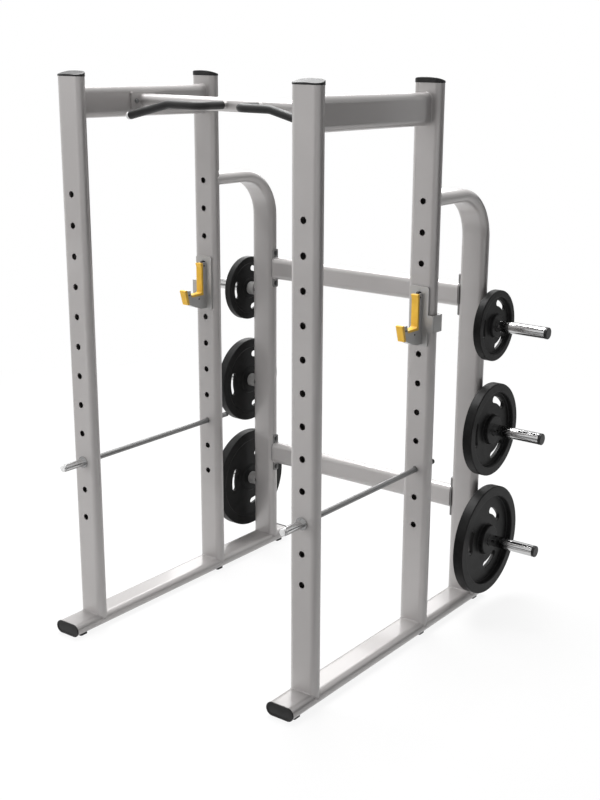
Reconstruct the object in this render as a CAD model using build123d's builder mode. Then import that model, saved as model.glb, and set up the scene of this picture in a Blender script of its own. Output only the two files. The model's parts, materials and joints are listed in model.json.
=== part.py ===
from build123d import *
import os
from math import cos, radians, sin, sqrt, tan

os.makedirs("parts", exist_ok=True)

# Sizes are millimetres. +X is the right side seen from the front, +Y runs to the storage end, +Z is up.

# Flat-oval tubes: the main frame and the lighter cross members
tube_width = 120.0
tube_depth = 50.0
tube_wall = 3.0
cross_width = 100.0
cross_depth = 50.0
cross_wall = 3.0

# Fits
weld_gap = 0.2
sleeve_gap = 0.2
plug_gap = 0.3
running_gap = 0.3
bolt_clearance = 0.5

# Footprint of the posts
post_spacing_x = 1105.0
post_spacing_y = 740.0
storage_setback = 388.0
rail_front_overhang = 153.5
rail_rear_overhang = 104.0

# Heights above the floor
foot_height = 8.0
upright_top = 2216.5
storage_bend_radius = 188.0
rear_beam_upper_z = 1360.5
rear_beam_lower_z = 472.0
horn_top_z = 1251.5
horn_middle_z = 808.0
horn_bottom_z = 314.5

# Drops below the top of the uprights
top_beam_drop = 94.5
top_hole_drop = 433.0
storage_arm_drop = 428.5

# Row of holes in each upright, counted from the top
hole_pitch = 118.4
hole_count = 12
hole_diameter = 25.0
hook_hole_number = 4
rod_hole_number = 10

# Rail feet and end caps
foot_width = 88.0
foot_length = 36.0
foot_corner = 6.0
foot_front_reach = 102.0
foot_rear_reach = 52.0
end_cap_thickness = 5.0
end_cap_overhang = 2.0
end_cap_edge = 2.5
end_cap_rim = 8.0
end_cap_recess = 1.5
end_plug_length = 18.0

# Slanted caps of the uprights, low on the side that faces out of the cage
top_cap_overhang = 1.5
top_cap_middle = 14.5
top_cap_lean = 14.0
top_cap_sag = 4.0
top_cap_edge = 2.5
top_plug_length = 25.0

# Chin bar, its flanges and bolts
chin_flange_length = 190.0
chin_flange_height = 70.0
chin_flange_thickness = 8.0
chin_flange_corner = 8.0
chin_bolt_spacing = 138.0
bolt_diameter = 12.0
bolt_head_radius = 10.4
bolt_head_height = 7.5
bolt_reach = 12.0

# Cranked chin grips
grip_root_x = 84.7
grip_lead = 184.0
grip_knee_x = 241.0
grip_end_x = 438.0
grip_droop = 13.6
grip_bend_radius = 42.0
grip_knee_radius = 90.0
grip_bar_diameter = 25.0
grip_sleeve_diameter = 31.0
grip_sleeve_setback = 14.0
grip_plug_length = 13.0
grip_plug_diameter = 29.0
grip_plug_edge = 4.0

# Flanges of the rear beams
rear_flange_height = 175.0
rear_flange_width = 30.0
rear_flange_thickness = 4.0
rear_flange_seat = 5.0
rear_flange_corner = 6.0
rear_bolt_spacing = 139.0
rear_bolt_head_radius = 9.5
rear_bolt_head_height = 4.0

# Plate horns
horn_diameter = 48.0
horn_wall = 3.0
horn_length = 292.0
horn_cap_length = 12.0
horn_cap_edge = 3.0
horn_plug_length = 20.0
collar_diameter = 60.0
collar_length = 26.5
collar_wrap = 8.0

# Weight plates
plate_bore_clearance = 2.5
plate_edge = 4.0
plate_step_taper = 4.0
plate_back_recess = 5.5
plate_slot_edge = 2.5
small_plate_radius = 146.5
small_plate_thickness = 33.5
small_plate_web = 14.0
small_plate_rim = 28.0
small_plate_hub = 46.0
small_slot_radius = 93.0
small_slot_span = 34.0
small_slot_width = 25.0
small_plate_turn = 0.0
medium_plate_radius = 196.5
medium_plate_thickness = 42.0
medium_plate_web = 17.0
medium_plate_rim = 37.0
medium_plate_hub = 60.0
medium_slot_radius = 125.0
medium_slot_span = 37.0
medium_slot_width = 28.0
medium_plate_turn = 0.0
large_plate_radius = 235.5
large_plate_thickness = 45.0
large_plate_web = 17.0
large_plate_rim = 42.0
large_plate_hub = 62.0
large_slot_radius = 124.0
large_slot_span = 37.0
large_slot_width = 28.0
large_plate_turn = -8.0
slot_count = 3
first_slot_angle = 180.0

# Bar hooks, heights counted from the pin, reach counted from the back plate
hook_plate_width = 85.0
hook_plate_above = 32.0
hook_plate_below = 202.0
hook_plate_thickness = 7.0
hook_plate_corner = 10.0
hook_pin_diameter = 24.0
hook_pin_tail = 6.0
strap_thickness = 8.0
strap_top_drop = 77.0
strap_height = 67.0
strap_return = 32.0
strap_bend = 6.0
arm_width = 30.0
arm_rise = 5.0
arm_stem = 20.0
arm_drop = 193.0
arm_nose_drop = 165.0
arm_belly_reach = 73.0
arm_belly_drop = 180.0
arm_heel_reach = 33.0
liner_thickness = 10.0
saddle_drop = 125.0
saddle_length = 65.0
saddle_fillet = 9.0
lip_height = 24.0
lip_lean = 7.0
lip_steel = 20.0
lip_tuck = 15.0
lip_round = 4.0
liner_flare = 6.0
liner_flare_height = 18.0
tip_pad = 16.0
tip_pad_foot = 12.0
tip_pad_rise = 3.0
screw_diameter = 6.0
screw_head_diameter = 8.5
screw_head_height = 2.5
screw_top_reach = 14.0
screw_top_drop = 7.5
screw_lip_reach = 110.0
screw_lip_drop = 123.0
screw_belly_reach = 48.0
screw_belly_drop = 148.0

# Safety rods
rod_diameter = 22.0
rod_rear_overhang = 85.0
rod_tip_length = 16.0
rod_tip_edge = 3.0
handle_length = 96.0
handle_diameter = 30.0
handle_edge = 2.0
stop_diameter = 48.0
stop_thickness = 5.0
rod_plug_length = 10.0
rod_plug_diameter = 27.0
rod_plug_edge = 3.0

# Positions that follow from the sizes above; the origin is the middle of the footprint on the floor
half_x = post_spacing_x / 2
half_depth = tube_depth / 2
half_width = tube_width / 2
rear_reach = post_spacing_y + storage_setback + large_plate_radius
front_y = -(rear_reach - rail_front_overhang) / 2
rear_y = front_y + post_spacing_y
storage_y = rear_y + storage_setback
chin_y = (front_y + rear_y) / 2
rail_z = foot_height + half_depth
top_beam_z = upright_top - top_beam_drop
top_hole_z = upright_top - top_hole_drop
storage_arm_z = upright_top - storage_arm_drop
rail_start_y = front_y - rail_front_overhang + end_cap_thickness
rail_end_y = storage_y + rail_rear_overhang - end_cap_thickness
holes_middle_z = top_hole_z - hole_pitch * (hole_count - 1) / 2
hook_z = top_hole_z - hole_pitch * (hook_hole_number - 1)
rod_z = top_hole_z - hole_pitch * (rod_hole_number - 1)
post_outer_x = half_x + half_width
post_inner_x = half_x - half_width
beam_inner_x = half_x - half_depth
bolt_hole_radius = bolt_diameter / 2 + bolt_clearance

sides = {"left": -1, "right": 1}
rows = {"front": front_y, "rear": rear_y}
rear_beams = {"upper": rear_beam_upper_z, "lower": rear_beam_lower_z}
horn_levels = {"top": horn_top_z, "middle": horn_middle_z, "bottom": horn_bottom_z}


def oval_tube(width, depth, wall):
    SlotOverall(width, depth)
    SlotOverall(width - 2 * wall, depth - 2 * wall, mode=Mode.SUBTRACT)


def along_y(x, y, z, direction=1):
    return Plane(origin=(x, y, z), x_dir=(1, 0, 0), z_dir=(0, direction, 0))


def along_y_tall(x, y, z):
    return Plane(origin=(x, y, z), x_dir=(0, 0, 1), z_dir=(0, 1, 0))


def along_x(x, y, z, direction=1):
    return Plane(origin=(x, y, z), x_dir=(0, 1, 0), z_dir=(direction, 0, 0))


def along_x_tall(x, y, z, direction=1):
    return Plane(origin=(x, y, z), x_dir=(0, 0, 1), z_dir=(direction, 0, 0))


# Base rails, their end caps and feet
for side_name, side in sides.items():
    with BuildPart() as base_rail:
        with BuildSketch(along_y(side * half_x, rail_start_y, rail_z)):
            oval_tube(tube_width, tube_depth, tube_wall)
        extrude(amount=rail_end_y - rail_start_y)
    base_rail.part.label = f"base_rail_{side_name}"
    export_step(base_rail.part, f"parts/base_rail_{side_name}.step")

rail_ends = ((rail_start_y, -1), (rail_end_y, 1))
panel_inset = end_cap_rim - end_cap_overhang
with BuildPart() as rail_end_caps:
    for side in sides.values():
        for cap_y, outward in rail_ends:
            with BuildSketch(along_y(side * half_x, cap_y, rail_z, outward)):
                SlotOverall(tube_width + 2 * end_cap_overhang, tube_depth + 2 * end_cap_overhang)
            extrude(amount=end_cap_thickness)
            with BuildSketch(along_y(side * half_x, cap_y, rail_z, outward)):
                SlotOverall(
                    tube_width - 2 * (tube_wall + plug_gap), tube_depth - 2 * (tube_wall + plug_gap)
                )
            extrude(amount=-end_plug_length)
    cap_edges = rail_end_caps.edges().group_by(Axis.Y)
    fillet(cap_edges[0] + cap_edges[-1], radius=end_cap_edge)
    for side in sides.values():
        for cap_y, outward in rail_ends:
            with BuildSketch(along_y(side * half_x, cap_y + outward * end_cap_thickness, rail_z, outward)):
                SlotOverall(tube_width - 2 * panel_inset, tube_depth - 2 * panel_inset)
            extrude(amount=-end_cap_recess, mode=Mode.SUBTRACT)
rail_end_caps.part.label = "rail_end_caps"
export_step(rail_end_caps.part, "parts/rail_end_caps.step")

foot_rows = (front_y - foot_front_reach, rear_y, storage_y + foot_rear_reach)
with BuildPart() as floor_feet:
    with BuildSketch(Plane.XY):
        with Locations(*[(side * half_x, foot_y) for side in sides.values() for foot_y in foot_rows]):
            RectangleRounded(foot_width, foot_length, foot_corner)
    extrude(amount=foot_height)
floor_feet.part.label = "floor_feet"
export_step(floor_feet.part, "parts/floor_feet.step")

# Uprights, saddle-cut to sit over the round shoulders of the rails
for row_name, row_y in rows.items():
    for side_name, side in sides.items():
        with BuildPart() as upright:
            with BuildSketch(Plane(origin=(side * half_x, row_y, rail_z))):
                oval_tube(tube_width, tube_depth, tube_wall)
            extrude(amount=upright_top - rail_z)
            with BuildSketch(along_y(side * half_x, row_y, holes_middle_z)):
                with GridLocations(tube_width, hole_pitch, 1, hole_count):
                    Circle(hole_diameter / 2)
            extrude(amount=tube_depth, both=True, mode=Mode.SUBTRACT)
            with BuildSketch(along_y(side * half_x, row_y, rail_z)):
                SlotOverall(tube_width + 2 * weld_gap, tube_depth + 2 * weld_gap)
            extrude(amount=tube_depth, both=True, mode=Mode.SUBTRACT)
        upright.part.label = f"{row_name}_upright_{side_name}"
        export_step(upright.part, f"parts/{row_name}_upright_{side_name}.step")

cap_half = half_width + top_cap_overhang
crown_radius = (cap_half**2 + top_cap_sag**2) / (2 * top_cap_sag)
crown_reach = cap_half + half_depth
crown_drop = crown_radius - sqrt(crown_radius**2 - crown_reach**2)
with BuildPart() as upright_top_caps:
    for row_y, lean in ((front_y, radians(top_cap_lean)), (rear_y, radians(-top_cap_lean))):
        for side in sides.values():
            with BuildSketch(Plane(origin=(side * half_x, row_y, upright_top))):
                SlotOverall(2 * cap_half, tube_depth + 2 * top_cap_overhang)
            extrude(amount=2 * top_cap_middle)
            crown_plane = Plane(
                origin=(side * half_x, row_y, upright_top + top_cap_middle),
                x_dir=(1, 0, 0),
                z_dir=(0, -cos(lean), -sin(lean)),
            )
            with BuildSketch(crown_plane):
                with BuildLine():
                    crown = ThreePointArc((-crown_reach, -crown_drop), (0, 0), (crown_reach, -crown_drop))
                    Polyline(
                        crown @ 1,
                        (crown_reach, 2 * top_cap_middle),
                        (-crown_reach, 2 * top_cap_middle),
                        crown @ 0,
                    )
                make_face()
            extrude(amount=tube_depth, both=True, mode=Mode.SUBTRACT)
            with BuildSketch(Plane(origin=(side * half_x, row_y, upright_top))):
                SlotOverall(
                    tube_width - 2 * (tube_wall + plug_gap), tube_depth - 2 * (tube_wall + plug_gap)
                )
            extrude(amount=-top_plug_length)
    crown_edges = upright_top_caps.edges().filter_by(
        lambda edge: edge.bounding_box().min.Z > upright_top + top_cap_edge
    )
    fillet(crown_edges, radius=top_cap_edge)
upright_top_caps.part.label = "upright_top_caps"
export_step(upright_top_caps.part, "parts/upright_top_caps.step")

# Side beams between the uprights, drilled on the inner side for the chin bar bolts
for side_name, side in sides.items():
    with BuildPart() as side_beam:
        with BuildSketch(along_y_tall(side * half_x, front_y + half_depth, top_beam_z)):
            oval_tube(tube_width, tube_depth, tube_wall)
        extrude(amount=post_spacing_y - tube_depth)
        with BuildSketch(along_x(side * half_x, chin_y, top_beam_z, -side)):
            with GridLocations(chin_bolt_spacing, tube_width, 2, 1):
                Circle(bolt_hole_radius)
        extrude(amount=tube_depth, mode=Mode.SUBTRACT)
    side_beam.part.label = f"side_beam_{side_name}"
    export_step(side_beam.part, f"parts/side_beam_{side_name}.step")

# Chin bar with its flange plates and bolts
chin_half = beam_inner_x - chin_flange_thickness
with BuildPart() as chin_bar:
    with BuildSketch(along_x(-chin_half, chin_y, top_beam_z)):
        oval_tube(cross_width, cross_depth, cross_wall)
    extrude(amount=2 * chin_half)
chin_bar.part.label = "chin_bar"
export_step(chin_bar.part, "parts/chin_bar.step")

with BuildPart() as chin_bar_flanges:
    for side in sides.values():
        with BuildSketch(along_x(side * beam_inner_x, chin_y, top_beam_z, -side)):
            RectangleRounded(chin_flange_length, chin_flange_height, chin_flange_corner)
            with GridLocations(chin_bolt_spacing, tube_width, 2, 1):
                Circle(bolt_hole_radius, mode=Mode.SUBTRACT)
        extrude(amount=chin_flange_thickness)
chin_bar_flanges.part.label = "chin_bar_flanges"
export_step(chin_bar_flanges.part, "parts/chin_bar_flanges.step")

with BuildPart() as chin_bar_bolts:
    for side in sides.values():
        with BuildSketch(along_x(side * chin_half, chin_y, top_beam_z, -side)):
            with GridLocations(chin_bolt_spacing, tube_width, 2, 1):
                RegularPolygon(bolt_head_radius, 6)
        extrude(amount=bolt_head_height)
        with BuildSketch(along_x(side * chin_half, chin_y, top_beam_z, side)):
            with GridLocations(chin_bolt_spacing, tube_width, 2, 1):
                Circle(bolt_diameter / 2)
        extrude(amount=chin_flange_thickness + bolt_reach)
chin_bar_bolts.part.label = "chin_bar_bolts"
export_step(chin_bar_bolts.part, "parts/chin_bar_bolts.step")

# Cranked grips: forward from the chin bar, outward, then drooping to the free end
grip_y = chin_y - grip_lead
chin_front_y = chin_y - cross_width / 2
knee_run = grip_knee_radius * tan(radians(grip_droop / 2))
droop_cos = cos(radians(grip_droop))
droop_sin = sin(radians(grip_droop))
grip_end_z = top_beam_z - (grip_end_x - grip_knee_x) * tan(radians(grip_droop))


def grip_path(side, start_y):
    lead = Line(
        (side * grip_root_x, start_y, top_beam_z),
        (side * grip_root_x, grip_y + grip_bend_radius, top_beam_z),
    )
    bend = TangentArc(
        lead @ 1, (side * (grip_root_x + grip_bend_radius), grip_y, top_beam_z), tangent=lead % 1
    )
    run = Line(bend @ 1, (side * (grip_knee_x - knee_run), grip_y, top_beam_z))
    knee = TangentArc(
        run @ 1,
        (side * (grip_knee_x + knee_run * droop_cos), grip_y, top_beam_z - knee_run * droop_sin),
        tangent=run % 1,
    )
    Line(knee @ 1, (side * grip_end_x, grip_y, grip_end_z))


for side_name, side in sides.items():
    with BuildPart() as grip_bar:
        with BuildLine():
            grip_path(side, chin_y)
        with BuildSketch(along_y(side * grip_root_x, chin_y, top_beam_z, -1)):
            Circle(grip_bar_diameter / 2)
        sweep()
        with BuildSketch(along_x(0, chin_y, top_beam_z)):
            SlotOverall(cross_width + 2 * weld_gap, cross_depth + 2 * weld_gap)
        extrude(amount=chin_half, both=True, mode=Mode.SUBTRACT)
    grip_bar.part.label = f"grip_bar_{side_name}"
    export_step(grip_bar.part, f"parts/grip_bar_{side_name}.step")

    sleeve_y = chin_front_y - grip_sleeve_setback
    with BuildPart() as grip_sleeve:
        with BuildLine():
            grip_path(side, sleeve_y)
        with BuildSketch(along_y(side * grip_root_x, sleeve_y, top_beam_z, -1)):
            Circle(grip_sleeve_diameter / 2)
            Circle(grip_bar_diameter / 2 + sleeve_gap, mode=Mode.SUBTRACT)
        sweep()
    grip_sleeve.part.label = f"grip_sleeve_{side_name}"
    export_step(grip_sleeve.part, f"parts/grip_sleeve_{side_name}.step")

with BuildPart() as grip_end_plugs:
    for side in sides.values():
        plug_plane = Plane(
            origin=(side * grip_end_x, grip_y, grip_end_z),
            x_dir=(0, 1, 0),
            z_dir=(side * droop_cos, 0, -droop_sin),
        )
        with BuildSketch(plug_plane):
            Circle(grip_plug_diameter / 2)
        extrude(amount=grip_plug_length)
    plug_faces = grip_end_plugs.faces().sort_by(Axis.X)
    fillet(plug_faces[0].edges() + plug_faces[-1].edges(), radius=grip_plug_edge)
grip_end_plugs.part.label = "grip_end_plugs"
export_step(grip_end_plugs.part, "parts/grip_end_plugs.step")

# Storage posts: an arm from the rear upright, a bend and a leg down to the rail
for side_name, side in sides.items():
    with BuildPart() as storage_post:
        with BuildLine():
            arm_line = Line(
                (side * half_x, rear_y, storage_arm_z),
                (side * half_x, storage_y - storage_bend_radius, storage_arm_z),
            )
            arm_bend = TangentArc(
                arm_line @ 1,
                (side * half_x, storage_y, storage_arm_z - storage_bend_radius),
                tangent=arm_line % 1,
            )
            Line(arm_bend @ 1, (side * half_x, storage_y, rail_z))
        with BuildSketch(along_y(side * half_x, rear_y, storage_arm_z)):
            oval_tube(tube_width, tube_depth, tube_wall)
        sweep()
        with BuildSketch(Plane(origin=(side * half_x, rear_y, storage_arm_z))):
            SlotOverall(tube_width + 2 * weld_gap, tube_depth + 2 * weld_gap)
        extrude(amount=tube_depth, both=True, mode=Mode.SUBTRACT)
        with BuildSketch(along_y(side * half_x, storage_y, rail_z)):
            SlotOverall(tube_width + 2 * weld_gap, tube_depth + 2 * weld_gap)
        extrude(amount=tube_depth, both=True, mode=Mode.SUBTRACT)
        for beam_z in rear_beams.values():
            with BuildSketch(along_x_tall(side * half_x, storage_y, beam_z, -side)):
                with GridLocations(rear_bolt_spacing, tube_width, 2, 1):
                    Circle(bolt_hole_radius)
            extrude(amount=tube_width, mode=Mode.SUBTRACT)
    storage_post.part.label = f"storage_post_{side_name}"
    export_step(storage_post.part, f"parts/storage_post_{side_name}.step")

# Rear beams between the storage posts, bolted through flanges grooved to the posts' round edges
rear_half = post_inner_x - rear_flange_thickness
for beam_name, beam_z in rear_beams.items():
    with BuildPart() as rear_beam:
        with BuildSketch(along_x_tall(-rear_half, storage_y, beam_z)):
            oval_tube(cross_width, cross_depth, cross_wall)
        extrude(amount=2 * rear_half)
    rear_beam.part.label = f"rear_beam_{beam_name}"
    export_step(rear_beam.part, f"parts/rear_beam_{beam_name}.step")

with BuildPart() as rear_beam_flanges:
    for beam_z in rear_beams.values():
        for side in sides.values():
            with BuildSketch(along_x_tall(side * rear_half, storage_y, beam_z, side)):
                RectangleRounded(rear_flange_height, rear_flange_width, rear_flange_corner)
                SlotOverall(cross_width, cross_depth)
                with GridLocations(rear_bolt_spacing, tube_width, 2, 1):
                    Circle(bolt_hole_radius, mode=Mode.SUBTRACT)
            extrude(amount=rear_flange_thickness + rear_flange_seat)
    for side in sides.values():
        with BuildSketch(Plane(origin=(side * half_x, storage_y, rail_z))):
            SlotOverall(tube_width + 2 * weld_gap, tube_depth + 2 * weld_gap)
        extrude(amount=storage_arm_z - rail_z, mode=Mode.SUBTRACT)
rear_beam_flanges.part.label = "rear_beam_flanges"
export_step(rear_beam_flanges.part, "parts/rear_beam_flanges.step")

with BuildPart() as rear_beam_bolts:
    for beam_z in rear_beams.values():
        for side in sides.values():
            with BuildSketch(along_x_tall(side * rear_half, storage_y, beam_z, -side)):
                with GridLocations(rear_bolt_spacing, tube_width, 2, 1):
                    RegularPolygon(rear_bolt_head_radius, 6)
            extrude(amount=rear_bolt_head_height)
            with BuildSketch(along_x_tall(side * rear_half, storage_y, beam_z, side)):
                with GridLocations(rear_bolt_spacing, tube_width, 2, 1):
                    Circle(bolt_diameter / 2)
            extrude(amount=rear_flange_thickness + bolt_reach)
rear_beam_bolts.part.label = "rear_beam_bolts"
export_step(rear_beam_bolts.part, "parts/rear_beam_bolts.step")

# Plate horns with collars and end caps
horn_end_x = post_outer_x + horn_length - horn_cap_length
for side_name, side in sides.items():
    for level_name, horn_z in horn_levels.items():
        with BuildPart() as storage_horn:
            with BuildSketch(along_x(side * half_x, storage_y, horn_z, side)):
                Circle(horn_diameter / 2)
                Circle(horn_diameter / 2 - horn_wall, mode=Mode.SUBTRACT)
            extrude(amount=horn_end_x - half_x)
            with BuildSketch(Plane(origin=(side * half_x, storage_y, horn_z))):
                SlotOverall(tube_width + 2 * weld_gap, tube_depth + 2 * weld_gap)
            extrude(amount=horn_diameter, both=True, mode=Mode.SUBTRACT)
        storage_horn.part.label = f"storage_horn_{side_name}_{level_name}"
        export_step(storage_horn.part, f"parts/storage_horn_{side_name}_{level_name}.step")

with BuildPart() as horn_collars:
    for side in sides.values():
        for horn_z in horn_levels.values():
            with BuildSketch(along_x(side * (post_outer_x - collar_wrap), storage_y, horn_z, side)):
                Circle(collar_diameter / 2)
                Circle(horn_diameter / 2 + sleeve_gap, mode=Mode.SUBTRACT)
            extrude(amount=collar_wrap + collar_length)
    for side in sides.values():
        with BuildSketch(Plane(origin=(side * half_x, storage_y, rail_z))):
            SlotOverall(tube_width + 2 * weld_gap, tube_depth + 2 * weld_gap)
        extrude(amount=storage_arm_z - rail_z, mode=Mode.SUBTRACT)
horn_collars.part.label = "horn_collars"
export_step(horn_collars.part, "parts/horn_collars.step")

with BuildPart() as horn_end_caps:
    for side in sides.values():
        for horn_z in horn_levels.values():
            with BuildSketch(along_x(side * horn_end_x, storage_y, horn_z, side)):
                Circle(horn_diameter / 2)
            extrude(amount=horn_cap_length)
            with BuildSketch(along_x(side * horn_end_x, storage_y, horn_z, side)):
                Circle(horn_diameter / 2 - horn_wall - plug_gap)
            extrude(amount=-horn_plug_length)
    cap_edges = horn_end_caps.edges().filter_by(GeomType.CIRCLE).group_by(Axis.X)
    fillet(cap_edges[0] + cap_edges[-1], radius=horn_cap_edge)
horn_end_caps.part.label = "horn_end_caps"
export_step(horn_end_caps.part, "parts/horn_end_caps.step")

# Weight plates: rim and hub raised on a thinner web, three curved hand slots, hung on the horns
plate_bore_radius = (horn_diameter + plate_bore_clearance) / 2
plate_sag = plate_bore_radius - horn_diameter / 2 - running_gap
plate_face_x = post_outer_x + collar_length + running_gap
plate_kinds = (
    ("small", horn_top_z, small_plate_radius, small_plate_thickness, small_plate_web,
     small_plate_rim, small_plate_hub, small_slot_radius, small_slot_span, small_slot_width,
     small_plate_turn),
    ("medium", horn_middle_z, medium_plate_radius, medium_plate_thickness, medium_plate_web,
     medium_plate_rim, medium_plate_hub, medium_slot_radius, medium_slot_span, medium_slot_width,
     medium_plate_turn),
    ("large", horn_bottom_z, large_plate_radius, large_plate_thickness, large_plate_web,
     large_plate_rim, large_plate_hub, large_slot_radius, large_slot_span, large_slot_width,
     large_plate_turn),
)
slot_turn = 360.0 / slot_count
for side_name, side in sides.items():
    for plate_kind in plate_kinds:
        kind, horn_z, radius, thickness, web, rim, hub, *slot_sizes = plate_kind
        slot_radius, slot_span, slot_width, lean = slot_sizes
        plate_z = horn_z - plate_sag
        web_face = plate_back_recess + web
        rim_inner = radius - rim
        with BuildPart() as weight_plate:
            profile_plane = Plane(
                origin=(side * plate_face_x, storage_y, plate_z), x_dir=(side, 0, 0), z_dir=(0, -side, 0)
            )
            with BuildSketch(profile_plane) as profile:
                with BuildLine():
                    Polyline(
                        (0, plate_bore_radius),
                        (thickness, plate_bore_radius),
                        (thickness, hub),
                        (web_face, hub + plate_step_taper),
                        (web_face, rim_inner - plate_step_taper),
                        (thickness, rim_inner),
                        (thickness, radius),
                        (0, radius),
                        (0, rim_inner),
                        (plate_back_recess, rim_inner - plate_step_taper),
                        (plate_back_recess, hub + plate_step_taper),
                        (0, hub),
                        close=True,
                    )
                make_face()
                outer_corners = profile.vertices().filter_by(
                    lambda corner: corner.Y > plate_bore_radius + plate_edge
                )
                fillet(outer_corners, radius=plate_edge)
            revolve(axis=Axis((0, storage_y, plate_z), (1, 0, 0)))
            with BuildSketch(along_x(side * (plate_face_x + thickness / 2), storage_y, plate_z)):
                for turn in range(slot_count):
                    middle = first_slot_angle + lean + turn * slot_turn
                    slot_line = Edge.make_circle(
                        slot_radius, start_angle=middle - slot_span / 2, end_angle=middle + slot_span / 2
                    )
                    SlotArc(slot_line, slot_width)
            extrude(amount=thickness, both=True, mode=Mode.SUBTRACT)
            slot_edges = weight_plate.edges().filter_by(
                lambda edge: edge.length < slot_radius and edge.bounding_box().size.X < plate_slot_edge
            )
            fillet(slot_edges, radius=plate_slot_edge)
        weight_plate.part.label = f"weight_plate_{side_name}_{kind}"
        export_step(weight_plate.part, f"parts/weight_plate_{side_name}_{kind}.step")

# Bar hooks on the rear uprights; the strap grips the outer edge of the post
post_face_y = rear_y - half_depth
plate_front_y = post_face_y - running_gap - hook_plate_thickness
stem_front = arm_stem
liner_front = stem_front + liner_thickness
saddle_top = -saddle_drop
saddle_steel = saddle_top - liner_thickness
lip_foot = liner_front + saddle_length
lip_top = saddle_top + lip_height
lip_steel_top = lip_top - tip_pad_rise
lip_steel_back = lip_foot + lip_lean
lip_steel_front = lip_steel_back + lip_steel
nose_steel = lip_steel_front - lip_tuck

arm_outline = (
    (0, arm_rise),
    (stem_front, arm_rise),
    (stem_front, saddle_steel),
    (lip_foot, saddle_steel),
    (lip_steel_back, lip_steel_top),
    (lip_steel_front, lip_steel_top),
    (nose_steel, -arm_nose_drop),
    (arm_belly_reach, -arm_belly_drop),
    (arm_heel_reach, -arm_drop),
    (0, -arm_drop),
)
liner_outline = (
    (stem_front, arm_rise),
    (liner_front + liner_flare, arm_rise),
    (liner_front, arm_rise - liner_flare_height),
    (liner_front, saddle_top),
    (lip_foot, saddle_top),
    (lip_foot, saddle_steel),
    (stem_front, saddle_steel),
)
tip_outline = (
    (lip_steel_front, lip_steel_top),
    (lip_steel_front, lip_top),
    (lip_steel_front + tip_pad, lip_top),
    (nose_steel + tip_pad_foot, -arm_nose_drop),
    (nose_steel, -arm_nose_drop),
)
screw_spots = (
    (screw_top_reach, -screw_top_drop),
    (screw_lip_reach, -screw_lip_drop),
    (screw_belly_reach, -screw_belly_drop),
)


def hook_side(x):
    return Plane(origin=(x, plate_front_y, hook_z), x_dir=(0, -1, 0), z_dir=(-1, 0, 0))


for side_name, side in sides.items():
    hook_x = side * half_x
    with BuildPart() as hook_plate:
        with BuildSketch(along_y(hook_x, plate_front_y, hook_z, 1)):
            with Locations((0, (hook_plate_below - hook_plate_above) / 2)):
                RectangleRounded(hook_plate_width, hook_plate_above + hook_plate_below, hook_plate_corner)
            Circle(hook_pin_diameter / 2 + weld_gap, mode=Mode.SUBTRACT)
        extrude(amount=hook_plate_thickness)
        strap_inner = half_width + running_gap
        strap_outer = strap_inner + strap_thickness
        strap_back = hook_plate_thickness + running_gap + tube_depth + running_gap
        strap_plane = Plane(
            origin=(hook_x, plate_front_y, hook_z - strap_top_drop), x_dir=(side, 0, 0), z_dir=(0, 0, side)
        )
        with BuildSketch(strap_plane) as strap:
            with BuildLine():
                Polyline(
                    (0, 0),
                    (strap_outer, 0),
                    (strap_outer, strap_back + strap_thickness),
                    (strap_outer - strap_return, strap_back + strap_thickness),
                    (strap_outer - strap_return, strap_back),
                    (strap_inner, strap_back),
                    (strap_inner, hook_plate_thickness),
                    (0, hook_plate_thickness),
                    close=True,
                )
            make_face()
            bends = strap.vertices().filter_by(lambda corner: corner.X > strap_inner + running_gap)
            fillet(bends, radius=strap_bend)
        extrude(amount=-side * strap_height)
    hook_plate.part.label = f"hook_plate_{side_name}"
    export_step(hook_plate.part, f"parts/hook_plate_{side_name}.step")

    with BuildPart() as hook_arm:
        with BuildSketch(hook_side(hook_x)):
            with BuildLine():
                Polyline(*arm_outline, close=True)
            make_face()
            with Locations(*screw_spots):
                Circle(screw_diameter / 2 + sleeve_gap, mode=Mode.SUBTRACT)
        extrude(amount=arm_width / 2, both=True)
    hook_arm.part.label = f"hook_arm_{side_name}"
    export_step(hook_arm.part, f"parts/hook_arm_{side_name}.step")

    with BuildPart() as hook_liner:
        with BuildSketch(hook_side(hook_x)) as liner:
            with BuildLine():
                Polyline(*liner_outline, close=True)
            make_face()
            with BuildLine():
                Polyline(*tip_outline, close=True)
            make_face()
            fillet(liner.vertices().sort_by_distance((liner_front, saddle_top))[0], radius=saddle_fillet)
            for spot in ((liner_front + liner_flare, arm_rise), (lip_steel_front + tip_pad, lip_top)):
                fillet(liner.vertices().sort_by_distance(spot)[0], radius=lip_round)
        extrude(amount=arm_width / 2, both=True)
    hook_liner.part.label = f"hook_liner_{side_name}"
    export_step(hook_liner.part, f"parts/hook_liner_{side_name}.step")

    with BuildPart() as hook_pin:
        with BuildSketch(along_y(hook_x, plate_front_y, hook_z)):
            Circle(hook_pin_diameter / 2)
        extrude(amount=hook_plate_thickness + running_gap + tube_depth + hook_pin_tail)
    hook_pin.part.label = f"hook_pin_{side_name}"
    export_step(hook_pin.part, f"parts/hook_pin_{side_name}.step")

    with BuildPart() as hook_screws:
        with BuildSketch(hook_side(hook_x)):
            with Locations(*screw_spots):
                Circle(screw_diameter / 2)
        extrude(amount=arm_width / 2, both=True)
        for face in (-1, 1):
            with BuildSketch(hook_side(hook_x + face * arm_width / 2)):
                with Locations(*screw_spots):
                    Circle(screw_head_diameter / 2)
            extrude(amount=-face * screw_head_height)
    hook_screws.part.label = f"hook_screws_{side_name}"
    export_step(hook_screws.part, f"parts/hook_screws_{side_name}.step")

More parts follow.
